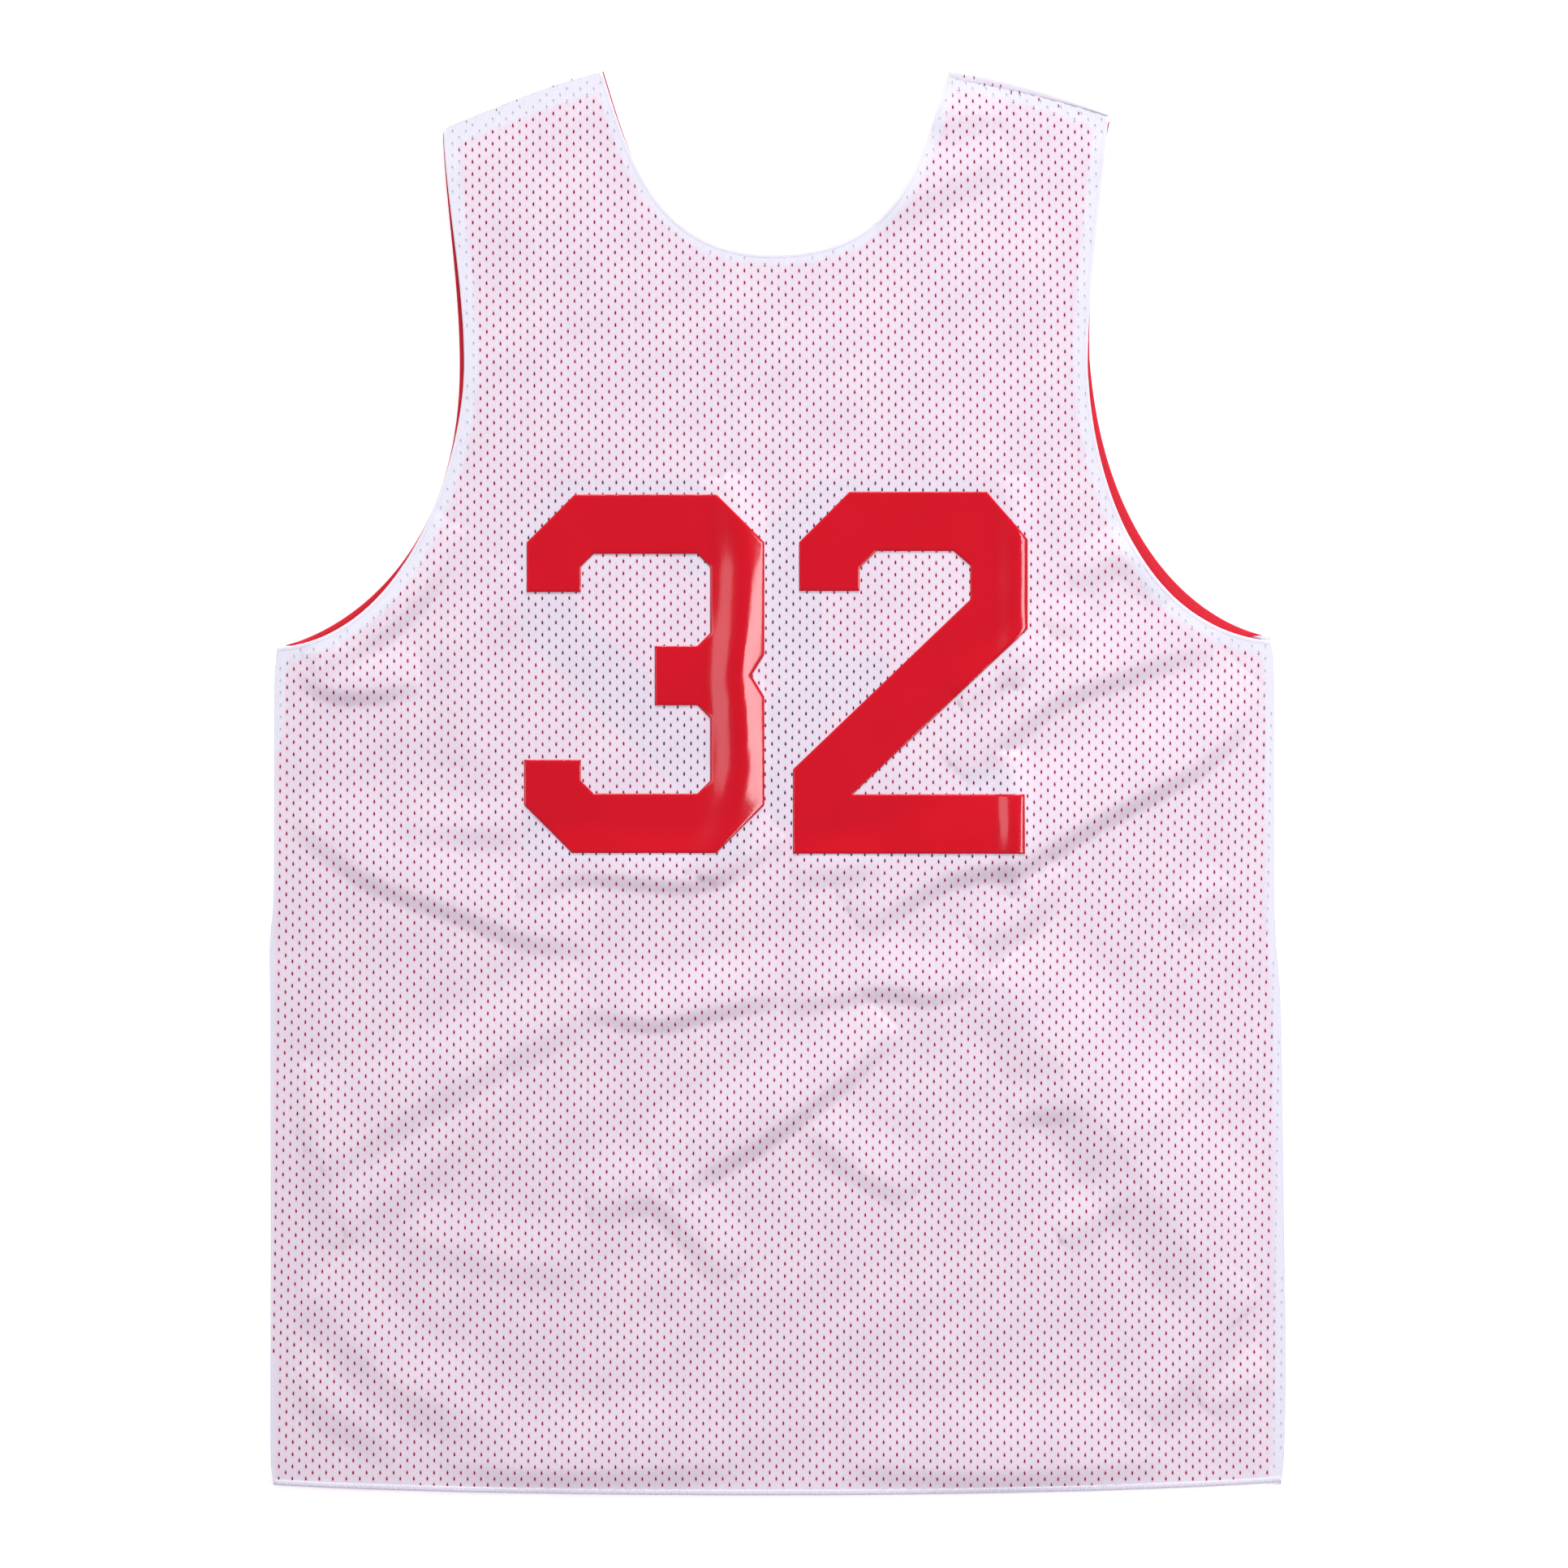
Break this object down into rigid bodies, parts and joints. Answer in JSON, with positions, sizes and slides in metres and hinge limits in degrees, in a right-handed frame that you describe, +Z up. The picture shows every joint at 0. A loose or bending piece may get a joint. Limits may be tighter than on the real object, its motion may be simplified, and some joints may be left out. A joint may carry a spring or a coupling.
{
  "type": "practice jersey",
  "caption": "Reversible sleeveless practice jersey of white mesh over red mesh, laid flat with its back up, with two plain block numerals.",
  "frame": {"origin": "middle of the jersey's box, on the surface it lies on", "axes": "+X across the chest to the right as seen from above, +Y from hem to neck, +Z up out of the back panel"},
  "size_m": [0.573, 0.8028, 0.0098],
  "materials": {
    "white_mesh": "matte perforated polyester knit",
    "red_mesh": "matte perforated polyester knit",
    "red_vinyl": "glossy heat-pressed film"
  },
  "bodies": {
    "root": {"front_outer": "white_mesh", "front_inner": "red_mesh", "back_inner": "red_mesh", "back_outer": "white_mesh", "digit_3": "red_vinyl", "digit_2": "red_vinyl"}
  },
  "joints": []
}
